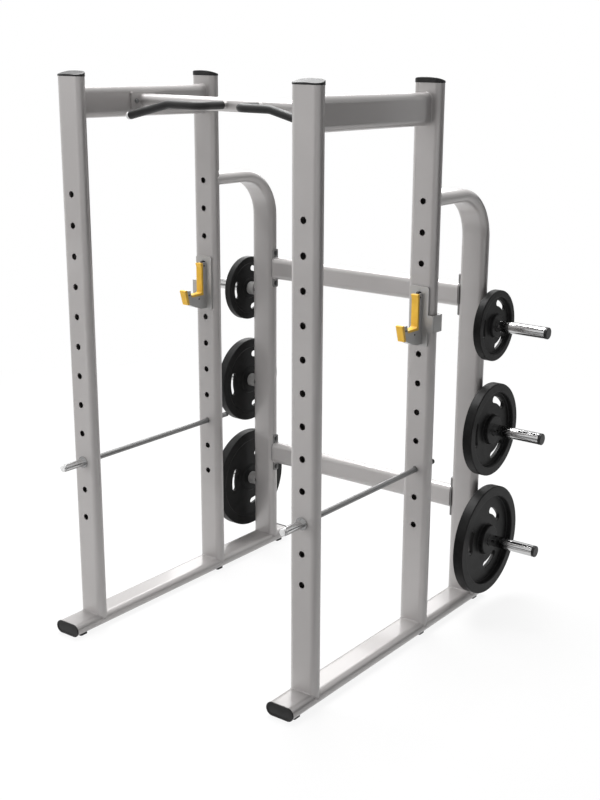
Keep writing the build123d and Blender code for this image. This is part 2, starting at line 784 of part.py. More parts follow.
# Safety rods, lying on the lower edge of their holes
rod_sag = (hole_diameter - rod_diameter) / 2 - running_gap
rod_axis_z = rod_z - rod_sag
stop_y = front_y - half_depth - running_gap
handle_y = stop_y - stop_thickness
plug_y = handle_y - handle_length
tip_y = rear_y + half_depth + rod_rear_overhang - rod_tip_length
for side_name, side in sides.items():
    rod_x = side * half_x
    with BuildPart() as safety_rod:
        with BuildSketch(along_y(rod_x, plug_y, rod_axis_z)):
            Circle(rod_diameter / 2)
        extrude(amount=tip_y - plug_y)
    safety_rod.part.label = f"safety_rod_{side_name}"
    export_step(safety_rod.part, f"parts/safety_rod_{side_name}.step")

    with BuildPart() as rod_stop:
        with BuildSketch(along_y(rod_x, stop_y, rod_axis_z, -1)):
            Circle(stop_diameter / 2)
            Circle(rod_diameter / 2 + sleeve_gap, mode=Mode.SUBTRACT)
        extrude(amount=stop_thickness)
    rod_stop.part.label = f"rod_stop_{side_name}"
    export_step(rod_stop.part, f"parts/rod_stop_{side_name}.step")

    with BuildPart() as rod_handle:
        with BuildSketch(along_y(rod_x, handle_y, rod_axis_z, -1)):
            Circle(handle_diameter / 2)
            Circle(rod_diameter / 2 + sleeve_gap, mode=Mode.SUBTRACT)
        extrude(amount=handle_length)
        handle_rims = rod_handle.edges().filter_by(GeomType.CIRCLE).group_by(Axis.Y)[0]
        fillet(handle_rims.sort_by(SortBy.LENGTH)[-1], radius=handle_edge)
    rod_handle.part.label = f"rod_handle_{side_name}"
    export_step(rod_handle.part, f"parts/rod_handle_{side_name}.step")

    with BuildPart() as rod_plug:
        with BuildSketch(along_y(rod_x, plug_y, rod_axis_z, -1)):
            Circle(rod_plug_diameter / 2)
        extrude(amount=rod_plug_length)
        fillet(rod_plug.edges().group_by(Axis.Y)[0], radius=rod_plug_edge)
    rod_plug.part.label = f"rod_plug_{side_name}"
    export_step(rod_plug.part, f"parts/rod_plug_{side_name}.step")

    with BuildPart() as rod_tip:
        with BuildSketch(along_y(rod_x, tip_y, rod_axis_z)):
            Circle(rod_diameter / 2)
        extrude(amount=rod_tip_length)
        fillet(rod_tip.edges().group_by(Axis.Y)[-1], radius=rod_tip_edge)
    rod_tip.part.label = f"rod_tip_{side_name}"
    export_step(rod_tip.part, f"parts/rod_tip_{side_name}.step")
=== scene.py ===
import json
import math
import bpy
from mathutils import Matrix, Vector


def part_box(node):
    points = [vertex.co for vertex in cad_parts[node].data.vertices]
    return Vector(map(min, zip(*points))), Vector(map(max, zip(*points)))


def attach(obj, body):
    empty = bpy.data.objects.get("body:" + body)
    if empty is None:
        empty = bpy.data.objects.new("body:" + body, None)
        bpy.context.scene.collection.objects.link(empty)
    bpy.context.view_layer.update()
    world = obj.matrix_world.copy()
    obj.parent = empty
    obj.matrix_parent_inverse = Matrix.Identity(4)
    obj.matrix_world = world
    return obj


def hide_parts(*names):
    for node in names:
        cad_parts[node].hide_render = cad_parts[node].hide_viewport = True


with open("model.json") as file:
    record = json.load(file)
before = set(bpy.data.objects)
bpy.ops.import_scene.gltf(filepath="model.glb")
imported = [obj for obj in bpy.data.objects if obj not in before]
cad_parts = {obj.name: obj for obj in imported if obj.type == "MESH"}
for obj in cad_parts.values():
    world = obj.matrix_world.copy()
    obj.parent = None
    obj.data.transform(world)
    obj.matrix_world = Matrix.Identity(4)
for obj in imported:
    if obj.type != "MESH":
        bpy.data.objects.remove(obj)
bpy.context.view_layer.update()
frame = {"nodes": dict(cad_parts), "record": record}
nodes = frame["nodes"]
scene = bpy.context.scene
scene.view_settings.view_transform = "Standard"
print("cage loaded:", len(nodes), "nodes")

# camera
cameraPlace = {
    "spot": (3.0295, -3.8591, 2.3177),
    "turn": 34.73,            # degrees round to the right of the open front
    "dip": 15.63,
    "roll": 1.011,
    "focalPixels": 1233.26,
    "picture": (600, 800),
    "centrePixel": (359.73, 397.85),
    "sensor": 36.0,
}


def setCamera(place):
    turn, dip, roll = (math.radians(place[key]) for key in ("turn", "dip", "roll"))
    back = Vector((math.sin(turn) * math.cos(dip), -math.cos(turn) * math.cos(dip), math.sin(dip)))
    level = Vector((math.cos(turn), math.sin(turn), 0.0))
    rise = back.cross(level)
    right = level * math.cos(roll) + rise * math.sin(roll)
    up = rise * math.cos(roll) - level * math.sin(roll)
    wide, high = place["picture"]
    longSide = max(wide, high)
    data = bpy.data.cameras.new("photoCamera")
    data.sensor_width = place["sensor"]
    data.lens = place["focalPixels"] * place["sensor"] / longSide
    data.shift_x = (wide / 2 - place["centrePixel"][0]) / longSide
    data.shift_y = (place["centrePixel"][1] - high / 2) / longSide
    camera = bpy.data.objects.new("photoCamera", data)
    turnMatrix = Matrix((right, up, back)).transposed().to_4x4()
    camera.matrix_world = Matrix.Translation(Vector(place["spot"])) @ turnMatrix
    scene.collection.objects.link(camera)
    scene.camera = camera


setCamera(cameraPlace)


def place(tree, kind, values=None, **settings):
    node = tree.nodes.new(kind)
    for key, value in settings.items():
        setattr(node, key, value)
    for key, value in (values or {}).items():
        if isinstance(value, bpy.types.NodeSocket):
            tree.links.new(value, node.inputs[key])
        else:
            node.inputs[key].default_value = value
    return node


def grey(level):
    return (level, level, level, 1.0)


# stage: white floor that keeps a faint shadow, white surround, soft lamps
stage = {
    "floorSize": 60.0,
    "floorTone": 0.88,            # as the camera sees it under the shadow
    "bounceTone": 0.62,           # as it throws light back at the cage
    "shadowReach": (1.8, 4.5),    # metres from the middle over which the shadow fades out
    "shadowShare": 0.11,
    "surroundLight": 0.16,
}
lamps = {
    "keyLamp": {"spot": (-1.9, -5.6, 1.1), "aim": (0.1, 0.0, 0.8), "size": 3.8, "power": 276.0,
                "gloss": False},
    "topLamp": {"spot": (-1.7, 0.9, 6.2), "aim": (-1.5, 0.9, 0.0), "size": 3.8, "power": 690.0},
    "rearLamp": {"spot": (-3.4, 4.6, 3.4), "aim": (-0.2, 0.5, 0.9), "size": 2.6, "power": 70.0},
}
# dark cards that only the gloss of paint, chrome and caps sees
flags = {
    "sideFlag": {"spot": (5.6, 2.2, 1.1), "aim": (0.4, 0.2, 1.0), "wide": 7.0, "high": 2.3, "tone": 0.02},
    "backFlag": {"spot": (-1.2, 7.0, 1.35), "aim": (0.0, 0.0, 1.2), "wide": 9.0, "high": 2.7, "tone": 0.03},
    "stripFlag": {"spot": (-1.0, -0.95, 5.0), "aim": (-1.0, -0.95, 0.0), "wide": 9.0, "high": 0.7,
                  "tone": 0.02},
    "frontFlag": {"spot": (-3.0, -7.9, 0.95), "aim": (-3.0, 0.0, 0.95), "wide": 14.0, "high": 1.9,
                  "tone": 0.3},
    "frontMat": {"spot": (0.0, -4.3, 0.004), "aim": (0.0, -4.3, -1.0), "wide": 14.0, "high": 7.0,
                 "tone": 0.30},
}


def rectangle(wide, high):
    return [Vector((x, y, 0)) for x, y in ((-wide, -high), (wide, -high), (wide, high), (-wide, high))]


def flatMesh(name, corners):
    mesh = bpy.data.meshes.new(name)
    mesh.from_pydata([tuple(corner) for corner in corners], [], [(0, 1, 2, 3)])
    return mesh


# 1 where the camera or a reflection looks, 0 where light bounces
def lookMask(tree):
    path = place(tree, "ShaderNodeLightPath")
    mask = place(tree, "ShaderNodeMath", {
        0: path.outputs["Is Camera Ray"], 1: path.outputs["Is Glossy Ray"]}, operation="MAXIMUM")
    mask = place(tree, "ShaderNodeMath", {
        0: mask.outputs[0], 1: path.outputs["Is Transmission Ray"]}, operation="MAXIMUM")
    return mask.outputs[0]


def buildFloor():
    reach = stage["floorSize"] / 2
    mesh = flatMesh("studioFloor", rectangle(reach, reach))
    floor = bpy.data.objects.new("studioFloor", mesh)
    scene.collection.objects.link(floor)
    material = bpy.data.materials.new("floorWhite")
    material.use_nodes = True
    tree = material.node_tree
    tree.nodes.clear()
    coords = place(tree, "ShaderNodeTexCoord")
    away = place(tree, "ShaderNodeVectorMath", {0: coords.outputs["Object"]}, operation="LENGTH")
    near, far = stage["shadowReach"]
    fade = place(tree, "ShaderNodeMapRange", {
        "Value": away.outputs["Value"], "From Min": near, "From Max": far,
        "To Min": stage["shadowShare"], "To Max": 0.0})
    white = place(tree, "ShaderNodeEmission", {"Color": grey(1.0), "Strength": 1.0})
    matt = place(tree, "ShaderNodeBsdfDiffuse", {"Color": grey(stage["floorTone"])})
    bounce = place(tree, "ShaderNodeBsdfDiffuse", {"Color": grey(stage["bounceTone"])})
    seen = place(tree, "ShaderNodeMixShader", {0: fade.outputs[0], 1: white.outputs[0], 2: matt.outputs[0]})
    both = place(tree, "ShaderNodeMixShader", {0: lookMask(tree), 1: bounce.outputs[0], 2: seen.outputs[0]})
    place(tree, "ShaderNodeOutputMaterial", {"Surface": both.outputs[0]})
    mesh.materials.append(material)


def buildSurround():
    world = bpy.data.worlds.new("whiteSurround")
    scene.world = world
    world.use_nodes = True
    tree = world.node_tree
    tree.nodes.clear()
    dim = place(tree, "ShaderNodeBackground", {"Color": grey(1.0), "Strength": stage["surroundLight"]})
    white = place(tree, "ShaderNodeBackground", {"Color": grey(1.0), "Strength": 1.0})
    both = place(tree, "ShaderNodeMixShader", {0: lookMask(tree), 1: dim.outputs[0], 2: white.outputs[0]})
    place(tree, "ShaderNodeOutputWorld", {"Surface": both.outputs[0]})


def buildLamps():
    for name, lamp in lamps.items():
        data = bpy.data.lights.new(name, "AREA")
        data.size = lamp["size"]
        data.energy = lamp["power"]
        obj = bpy.data.objects.new(name, data)
        obj.visible_glossy = lamp.get("gloss", True)
        spot = Vector(lamp["spot"])
        aim = (Vector(lamp["aim"]) - spot).to_track_quat("-Z", "Y")
        obj.matrix_world = Matrix.Translation(spot) @ aim.to_matrix().to_4x4()
        scene.collection.objects.link(obj)


def buildFlags():
    for name, flag in flags.items():
        wide, high = flag["wide"] / 2, flag["high"] / 2
        spot = Vector(flag["spot"])
        turn = (Vector(flag["aim"]) - spot).to_track_quat("-Z", "Y").to_matrix()
        mesh = flatMesh(name, [spot + turn @ corner for corner in rectangle(wide, high)])
        material = bpy.data.materials.new(name + "Cloth")
        material.use_nodes = True
        tree = material.node_tree
        tree.nodes.clear()
        matt = place(tree, "ShaderNodeBsdfDiffuse", {"Color": grey(flag["tone"])})
        place(tree, "ShaderNodeOutputMaterial", {"Surface": matt.outputs[0]})
        mesh.materials.append(material)
        card = bpy.data.objects.new(name, mesh)
        card.visible_camera = False
        card.visible_diffuse = False
        card.visible_shadow = False
        card.visible_transmission = False
        scene.collection.objects.link(card)


buildFloor()
buildSurround()
buildLamps()
buildFlags()
print("stage set")


# shared surface effects
def newGroup(name, inputs, outputs):
    group = bpy.data.node_groups.new(name, "ShaderNodeTree")
    for label, kind, value in inputs:
        socket = group.interface.new_socket(label, in_out="INPUT", socket_type=kind)
        if value is not None:
            socket.default_value = value
    for label, kind in outputs:
        group.interface.new_socket(label, in_out="OUTPUT", socket_type=kind)
    return group, group.nodes.new("NodeGroupInput"), group.nodes.new("NodeGroupOutput")


skinNoise = {"cloudScale": 2.6, "cloudDetail": 4.0, "cloudRough": 0.55, "fleckScale": 950.0,
             "fleckShare": 0.35, "spread": (0.40, 0.95), "peelScale": 260.0, "peelRough": 0.45,
             "glossSpread": (0.3, 0.7)}


def makePaintSkin():
    group, source, sink = newGroup(
        "paintSkin",
        [("Vector", "NodeSocketVector", None), ("Dark", "NodeSocketColor", grey(0.3)),
         ("Light", "NodeSocketColor", grey(0.4)), ("Rough Low", "NodeSocketFloat", 0.3),
         ("Rough High", "NodeSocketFloat", 0.4)],
        [("Color", "NodeSocketColor"), ("Roughness", "NodeSocketFloat"), ("Peel", "NodeSocketFloat")])
    cloud = place(group, "ShaderNodeTexNoise", {
        "Vector": source.outputs["Vector"], "Scale": skinNoise["cloudScale"],
        "Detail": skinNoise["cloudDetail"], "Roughness": skinNoise["cloudRough"]})
    fleck = place(group, "ShaderNodeTexNoise", {
        "Vector": source.outputs["Vector"], "Scale": skinNoise["fleckScale"], "Detail": 1.0})
    blend = place(group, "ShaderNodeMath", {
        0: fleck.outputs["Fac"], 1: skinNoise["fleckShare"], 2: cloud.outputs["Fac"]},
        operation="MULTIPLY_ADD")
    spread = place(group, "ShaderNodeMapRange", {
        "Value": blend.outputs[0], "From Min": skinNoise["spread"][0], "From Max": skinNoise["spread"][1]})
    tint = place(group, "ShaderNodeMix", {
        0: spread.outputs[0], 6: source.outputs["Dark"], 7: source.outputs["Light"]}, data_type="RGBA")
    peel = place(group, "ShaderNodeTexNoise", {
        "Vector": source.outputs["Vector"], "Scale": skinNoise["peelScale"], "Detail": 2.0,
        "Roughness": skinNoise["peelRough"]})
    gloss = place(group, "ShaderNodeMapRange", {
        "Value": cloud.outputs["Fac"],
        "From Min": skinNoise["glossSpread"][0], "From Max": skinNoise["glossSpread"][1],
        "To Min": source.outputs["Rough Low"], "To Max": source.outputs["Rough High"]})
    group.links.new(tint.outputs[2], sink.inputs["Color"])
    group.links.new(gloss.outputs[0], sink.inputs["Roughness"])
    group.links.new(peel.outputs["Fac"], sink.inputs["Peel"])
    return group


scratchNoise = {"fineScale": 420.0, "fineDetail": 3.0, "fineRough": 0.6, "patchScale": 14.0,
                "patchDetail": 3.0, "maskSpread": (0.35, 0.7), "wornSpread": (0.1, 0.6)}


def makeLongScratch():
    group, source, sink = newGroup(
        "longScratch",
        [("Vector", "NodeSocketVector", None), ("Stretch", "NodeSocketVector", (1.0, 1.0, 1.0)),
         ("Dark", "NodeSocketColor", grey(0.5)), ("Light", "NodeSocketColor", grey(0.8)),
         ("Rough Low", "NodeSocketFloat", 0.05), ("Rough High", "NodeSocketFloat", 0.2)],
        [("Color", "NodeSocketColor"), ("Roughness", "NodeSocketFloat"), ("Score", "NodeSocketFloat")])
    drawn = place(group, "ShaderNodeVectorMath", {
        0: source.outputs["Vector"], 1: source.outputs["Stretch"]}, operation="MULTIPLY")
    fine = place(group, "ShaderNodeTexNoise", {
        "Vector": drawn.outputs[0], "Scale": scratchNoise["fineScale"],
        "Detail": scratchNoise["fineDetail"], "Roughness": scratchNoise["fineRough"]})
    patch = place(group, "ShaderNodeTexNoise", {
        "Vector": source.outputs["Vector"], "Scale": scratchNoise["patchScale"],
        "Detail": scratchNoise["patchDetail"]})
    mask = place(group, "ShaderNodeMapRange", {
        "Value": fine.outputs["Fac"],
        "From Min": scratchNoise["maskSpread"][0], "From Max": scratchNoise["maskSpread"][1]})
    worn = place(group, "ShaderNodeMath", {0: mask.outputs[0], 1: patch.outputs["Fac"]}, operation="MULTIPLY")
    tint = place(group, "ShaderNodeMix", {
        0: mask.outputs[0], 6: source.outputs["Dark"], 7: source.outputs["Light"]}, data_type="RGBA")
    gloss = place(group, "ShaderNodeMapRange", {
        "Value": worn.outputs[0],
        "From Min": scratchNoise["wornSpread"][0], "From Max": scratchNoise["wornSpread"][1],
        "To Min": source.outputs["Rough Low"], "To Max": source.outputs["Rough High"]})
    group.links.new(tint.outputs[2], sink.inputs["Color"])
    group.links.new(gloss.outputs[0], sink.inputs["Roughness"])
    group.links.new(fine.outputs["Fac"], sink.inputs["Score"])
    return group


grainNoise = {"cloudScale": 22.0, "cloudDetail": 5.0, "cloudRough": 0.6, "spread": (0.3, 0.7),
              "cloudShare": 0.5}


def makeMouldGrain():
    group, source, sink = newGroup(
        "mouldGrain",
        [("Vector", "NodeSocketVector", None), ("Grain", "NodeSocketFloat", 600.0),
         ("Dark", "NodeSocketColor", grey(0.02)), ("Light", "NodeSocketColor", grey(0.04)),
         ("Rough Low", "NodeSocketFloat", 0.4), ("Rough High", "NodeSocketFloat", 0.6)],
        [("Color", "NodeSocketColor"), ("Roughness", "NodeSocketFloat"), ("Pebble", "NodeSocketFloat")])
    pebble = place(group, "ShaderNodeTexVoronoi", {
        "Vector": source.outputs["Vector"], "Scale": source.outputs["Grain"]})
    cloud = place(group, "ShaderNodeTexNoise", {
        "Vector": source.outputs["Vector"], "Scale": grainNoise["cloudScale"],
        "Detail": grainNoise["cloudDetail"], "Roughness": grainNoise["cloudRough"]})
    spread = place(group, "ShaderNodeMapRange", {
        "Value": cloud.outputs["Fac"],
        "From Min": grainNoise["spread"][0], "From Max": grainNoise["spread"][1]})
    tint = place(group, "ShaderNodeMix", {
        0: spread.outputs[0], 6: source.outputs["Dark"], 7: source.outputs["Light"]}, data_type="RGBA")
    gloss = place(group, "ShaderNodeMapRange", {
        "Value": cloud.outputs["Fac"],
        "From Min": grainNoise["spread"][0], "From Max": grainNoise["spread"][1],
        "To Min": source.outputs["Rough Low"], "To Max": source.outputs["Rough High"]})
    height = place(group, "ShaderNodeMath", {
        0: cloud.outputs["Fac"], 1: grainNoise["cloudShare"], 2: pebble.outputs["Distance"]},
        operation="MULTIPLY_ADD")
    group.links.new(tint.outputs[2], sink.inputs["Color"])
    group.links.new(gloss.outputs[0], sink.inputs["Roughness"])
    group.links.new(height.outputs[0], sink.inputs["Pebble"])
    return group


paintSkin = makePaintSkin()
longScratch = makeLongScratch()
mouldGrain = makeMouldGrain()
print("surface groups ready")


# finishes
plainFinish = {"metal": 0.0, "coat": 0.0, "coatRough": 0.1, "gleam": 0.5}
drawnPull = 0.85


def newFinish(name):
    material = bpy.data.materials.new(name)
    material.use_nodes = True
    tree = material.node_tree
    tree.nodes.clear()
    coords = place(tree, "ShaderNodeTexCoord")
    shader = place(tree, "ShaderNodeBsdfPrincipled")
    place(tree, "ShaderNodeOutputMaterial", {"Surface": shader.outputs[0]})
    return material, tree, coords.outputs["Object"], shader


def fillFinish(finish, group, heightName, inputs):
    material, tree, vector, shader = newFinish(finish["name"])
    skin = place(tree, "ShaderNodeGroup", node_tree=group)
    tree.links.new(vector, skin.inputs["Vector"])
    for label, value in inputs.items():
        skin.inputs[label].default_value = value
    bump = place(tree, "ShaderNodeBump", {
        "Height": skin.outputs[heightName], "Strength": finish["bump"], "Distance": finish["depth"]})
    tree.links.new(skin.outputs["Color"], shader.inputs["Base Color"])
    tree.links.new(skin.outputs["Roughness"], shader.inputs["Roughness"])
    tree.links.new(bump.outputs[0], shader.inputs["Normal"])
    look = plainFinish | finish
    shader.inputs["Metallic"].default_value = look["metal"]
    shader.inputs["Coat Weight"].default_value = look["coat"]
    shader.inputs["Coat Roughness"].default_value = look["coatRough"]
    shader.inputs["Specular IOR Level"].default_value = look["gleam"]
    if "drawn" in finish:
        axis = place(tree, "ShaderNodeCombineXYZ", dict(zip("XYZ", finish["drawn"])))
        tree.links.new(axis.outputs[0], shader.inputs["Tangent"])
        shader.inputs["Anisotropic"].default_value = drawnPull
    return material


paints = {
    "frame_paint": {"name": "cageGreyPaint",
                    "dark": (0.378, 0.362, 0.357, 1), "light": (0.418, 0.402, 0.397, 1),
                    "rough": (0.28, 0.36), "bump": 0.05, "depth": 0.0005, "metal": 0.25, "coat": 0.35,
                    "coatRough": 0.08},
    "collar_paint": {"name": "collarGreyPaint",
                     "dark": (0.33, 0.325, 0.32, 1), "light": (0.37, 0.365, 0.36, 1),
                     "rough": (0.30, 0.40), "bump": 0.06, "depth": 0.0006, "coat": 0.35, "coatRough": 0.16},
    # rear beam flanges: painted darker than the frame paint, a painted shade for the shadow in the notch
    # between flange and storage post
    "flange_paint": {"name": "flangePaintedShade",
                     "dark": (0.135, 0.132, 0.13, 1), "light": (0.165, 0.162, 0.16, 1),
                     "rough": (0.34, 0.44), "bump": 0.06, "depth": 0.0006, "coat": 0.2, "coatRough": 0.2},
    "hook_paint": {"name": "hookGreyPaint",
                   "dark": (0.34, 0.335, 0.33, 1), "light": (0.38, 0.375, 0.37, 1),
                   "rough": (0.34, 0.44), "bump": 0.08, "depth": 0.0006, "coat": 0.3, "coatRough": 0.2},
}
metals = {
    "chinBolt": {"name": "paintedBoltSteel", "dark": grey(0.18), "light": grey(0.24), "rough": (0.30, 0.42),
                 "stretch": (1.0, 1.0, 1.0), "bump": 0.03, "depth": 0.0003, "metal": 0.2},
    "horn_chrome": {"name": "hornChrome", "dark": grey(0.50), "light": grey(0.62), "rough": (0.05, 0.14),
                    "stretch": (0.03, 1.0, 1.0), "bump": 0.004, "depth": 0.0002, "metal": 1.0,
                    "drawn": (1.0, 0.0, 0.0)},
    "rod_steel": {"name": "safetyRodSteel", "dark": grey(0.46), "light": grey(0.60), "rough": (0.20, 0.32),
                  "stretch": (1.0, 0.03, 1.0), "bump": 0.005, "depth": 0.0002, "metal": 1.0},
    "rodShaft": {"name": "rodShaftSteel", "dark": grey(0.17), "light": grey(0.23), "rough": (0.30, 0.42),
                 "stretch": (1.0, 0.03, 1.0), "bump": 0.005, "depth": 0.0002, "metal": 0.5},
    "dark_steel": {"name": "blackenedSteel", "dark": grey(0.045), "light": grey(0.08), "rough": (0.32, 0.45),
                   "stretch": (1.0, 1.0, 1.0), "bump": 0.04, "depth": 0.0003, "metal": 0.7},
}
mouldings = {
    "liner_plastic": {"name": "linerYellow", "dark": (0.70, 0.40, 0.032, 1), "light": (0.78, 0.47, 0.047, 1),
                      "rough": (0.38, 0.50), "grain": 900.0, "bump": 0.05, "depth": 0.0005},
    "cap_plastic": {"name": "capSatinBlack", "dark": grey(0.010), "light": grey(0.016), "rough": (0.36, 0.46),
                    "grain": 700.0, "bump": 0.03, "depth": 0.0004, "gleam": 0.30},
    "foot_rubber": {"name": "footRubber", "dark": grey(0.016), "light": grey(0.030), "rough": (0.6, 0.75),
                    "grain": 800.0, "bump": 0.12, "depth": 0.0005},
    "grip_rubber": {"name": "gripSleeveRubber", "dark": grey(0.009), "light": grey(0.015),
                    "rough": (0.42, 0.55), "grain": 520.0, "bump": 0.22, "depth": 0.0007, "gleam": 0.35},
    "plug_plastic": {"name": "plugLightGrey", "dark": grey(0.60), "light": grey(0.68), "rough": (0.35, 0.45),
                     "grain": 900.0, "bump": 0.04, "depth": 0.0004},
    "tip_plastic": {"name": "rodTipBlack", "dark": grey(0.016), "light": grey(0.03), "rough": (0.4, 0.5),
                    "grain": 800.0, "bump": 0.06, "depth": 0.0004},
    "plate_iron": {"name": "plateBlackIron", "dark": grey(0.009), "light": grey(0.016), "rough": (0.36, 0.48),
                   "grain": 330.0, "bump": 0.18, "depth": 0.0008, "gleam": 0.11},
    "hornCap": {"name": "hornCapBlack", "dark": grey(0.010), "light": grey(0.016), "rough": (0.34, 0.42),
                "grain": 700.0, "bump": 0.03, "depth": 0.0004, "gleam": 0.3},
}
# nodes that differ from the rest of their slot
ownFinish = {"horn_end_caps": "hornCap", "safety_rod_left": "rodShaft", "safety_rod_right": "rodShaft",
             "hook_pin_left": "dark_steel", "hook_pin_right": "dark_steel"}

finishes = {}
for slotName, paint in paints.items():
    finishes[slotName] = fillFinish(paint, paintSkin, "Peel", {
        "Dark": paint["dark"], "Light": paint["light"],
        "Rough Low": paint["rough"][0], "Rough High": paint["rough"][1]})
for slotName, metal in metals.items():
    finishes[slotName] = fillFinish(metal, longScratch, "Score", {
        "Stretch": metal["stretch"], "Dark": metal["dark"], "Light": metal["light"],
        "Rough Low": metal["rough"][0], "Rough High": metal["rough"][1]})
for slotName, moulding in mouldings.items():
    finishes[slotName] = fillFinish(moulding, mouldGrain, "Pebble", {
        "Grain": moulding["grain"], "Dark": moulding["dark"], "Light": moulding["light"],
        "Rough Low": moulding["rough"][0], "Rough High": moulding["rough"][1]})

for row in frame["record"]["subparts"]:
    mesh = nodes[row["node"]].data
    mesh.materials.clear()
    mesh.materials.append(finishes[ownFinish.get(row["node"], row["material_slot"])])
print("finishes on", len(nodes), "nodes")


# repeated and path-following pieces, grown with Geometry Nodes and kept as plain meshes
def newTree(name, inputs):
    tree = bpy.data.node_groups.new(name, "GeometryNodeTree")
    tree.interface.new_socket("Geometry", in_out="INPUT", socket_type="NodeSocketGeometry")
    for label, value in inputs.items():
        socket = tree.interface.new_socket(label, in_out="INPUT", socket_type="NodeSocketFloat")
        socket.default_value = value
    tree.interface.new_socket("Material", in_out="INPUT", socket_type="NodeSocketMaterial")
    tree.interface.new_socket("Geometry", in_out="OUTPUT", socket_type="NodeSocketGeometry")
    return tree, tree.nodes.new("NodeGroupInput").outputs, tree.nodes.new("NodeGroupOutput")


def endTree(tree, source, sink, geometry):
    real = place(tree, "GeometryNodeRealizeInstances", {"Geometry": geometry})
    dressed = place(tree, "GeometryNodeSetMaterial", {
        "Geometry": real.outputs[0], "Material": source["Material"]})
    tree.links.new(dressed.outputs[0], sink.inputs["Geometry"])


def reckon(tree, operation, first, second, third=0.0):
    return place(tree, "ShaderNodeMath", {0: first, 1: second, 2: third}, operation=operation).outputs[0]


def liftBy(tree, geometry, height):
    shift = place(tree, "ShaderNodeCombineXYZ", {"Z": height})
    return place(tree, "GeometryNodeTransform", {
        "Geometry": geometry, "Translation": shift.outputs[0]}).outputs[0]


def drum(tree, sides, radius, depth):
    return place(tree, "GeometryNodeMeshCylinder", {
        "Vertices": sides, "Radius": radius, "Depth": depth}).outputs["Mesh"]


def carve(tree, operation, meshes):
    node = place(tree, "GeometryNodeMeshBoolean", operation=operation, solver="EXACT")
    start = 0
    if operation == "DIFFERENCE":
        tree.links.new(meshes[0], node.inputs["Mesh 1"])
        start = 1
    for mesh in meshes[start:]:
        tree.links.new(mesh, node.inputs["Mesh 2"])
    return node.outputs["Mesh"]


def standOnPoints(tree, source, shapes):
    joined = place(tree, "GeometryNodeJoinGeometry")
    for shape in shapes:
        tree.links.new(shape, joined.inputs[0])
    facing = place(tree, "GeometryNodeInputNamedAttribute", {"Name": "facing"}, data_type="FLOAT_VECTOR")
    turn = place(tree, "FunctionNodeAlignRotationToVector", {"Vector": facing.outputs[0]}, axis="Z")
    return place(tree, "GeometryNodeInstanceOnPoints", {
        "Points": source["Geometry"], "Instance": joined.outputs[0],
        "Rotation": turn.outputs[0]}).outputs[0]


# facets round each turned shape, and the chamfer that a hex head is cut to
facets = {"washer": 40, "hex": 6, "chamfer": 48, "boltShank": 24, "dome": 40, "domeRings": 80,
          "screwShank": 20, "bead": 10, "gripWeld": 28}
hexChamfer = {"crown": 0.82, "slope": 1.73, "spare": 0.001}


def makeHexBoltTree():
    tree, source, sink = newTree("hexBolt", {
        "Head Radius": 0.0104, "Head Height": 0.006, "Washer Radius": 0.0125, "Washer Height": 0.0015,
        "Shank Radius": 0.006, "Shank Length": 0.02})
    headRadius, washerHeight = source["Head Radius"], source["Washer Height"]
    washer = drum(tree, facets["washer"], source["Washer Radius"], washerHeight)
    washer = liftBy(tree, washer, reckon(tree, "MULTIPLY", washerHeight, 0.5))
    rise = reckon(tree, "ADD", source["Head Height"], hexChamfer["spare"])
    prism = drum(tree, facets["hex"], headRadius, rise)
    prism = liftBy(tree, prism, reckon(tree, "MULTIPLY_ADD", rise, 0.5, washerHeight))
    crown = reckon(tree, "MULTIPLY", headRadius, hexChamfer["crown"])
    cone = place(tree, "GeometryNodeMeshCone", {
        "Vertices": facets["chamfer"], "Radius Top": crown, "Depth": rise,
        "Radius Bottom": reckon(tree, "MULTIPLY_ADD", rise, hexChamfer["slope"], crown)}).outputs["Mesh"]
    cone = liftBy(tree, cone, reckon(tree, "SUBTRACT", washerHeight, hexChamfer["spare"]))
    head = carve(tree, "INTERSECT", [prism, cone])
    shank = drum(tree, facets["boltShank"], source["Shank Radius"], source["Shank Length"])
    shank = liftBy(tree, shank, reckon(tree, "MULTIPLY", source["Shank Length"], -0.5))
    endTree(tree, source, sink, standOnPoints(tree, source, [washer, head, shank]))
    return tree


def makeButtonScrewTree():
    tree, source, sink = newTree("buttonScrew", {
        "Head Radius": 0.00425, "Head Height": 0.0025, "Socket Radius": 0.0017, "Socket Depth": 0.0012,
        "Shank Radius": 0.003, "Shank Length": 0.0185})
    headRadius, headHeight = source["Head Radius"], source["Head Height"]
    heightSquare = reckon(tree, "MULTIPLY", headHeight, headHeight)
    square = reckon(tree, "MULTIPLY_ADD", headRadius, headRadius, heightSquare)
    ballRadius = reckon(tree, "DIVIDE", square, reckon(tree, "MULTIPLY", headHeight, 2.0))
    ball = place(tree, "GeometryNodeMeshUVSphere", {
        "Segments": facets["dome"], "Rings": facets["domeRings"], "Radius": ballRadius}).outputs["Mesh"]
    ball = liftBy(tree, ball, reckon(tree, "SUBTRACT", headHeight, ballRadius))
    blank = liftBy(tree, drum(tree, facets["dome"], headRadius, reckon(tree, "MULTIPLY", headHeight, 4.0)),
                   reckon(tree, "MULTIPLY", headHeight, 2.0))
    dome = carve(tree, "INTERSECT", [ball, blank])
    key = drum(tree, facets["hex"], source["Socket Radius"],
               reckon(tree, "MULTIPLY", source["Socket Depth"], 2.0))
    head = carve(tree, "DIFFERENCE", [dome, liftBy(tree, key, headHeight)])
    shank = drum(tree, facets["screwShank"], source["Shank Radius"], source["Shank Length"])
    shank = liftBy(tree, shank, reckon(tree, "MULTIPLY", source["Shank Length"], -0.5))
    endTree(tree, source, sink, standOnPoints(tree, source, [head, shank]))
    return tree


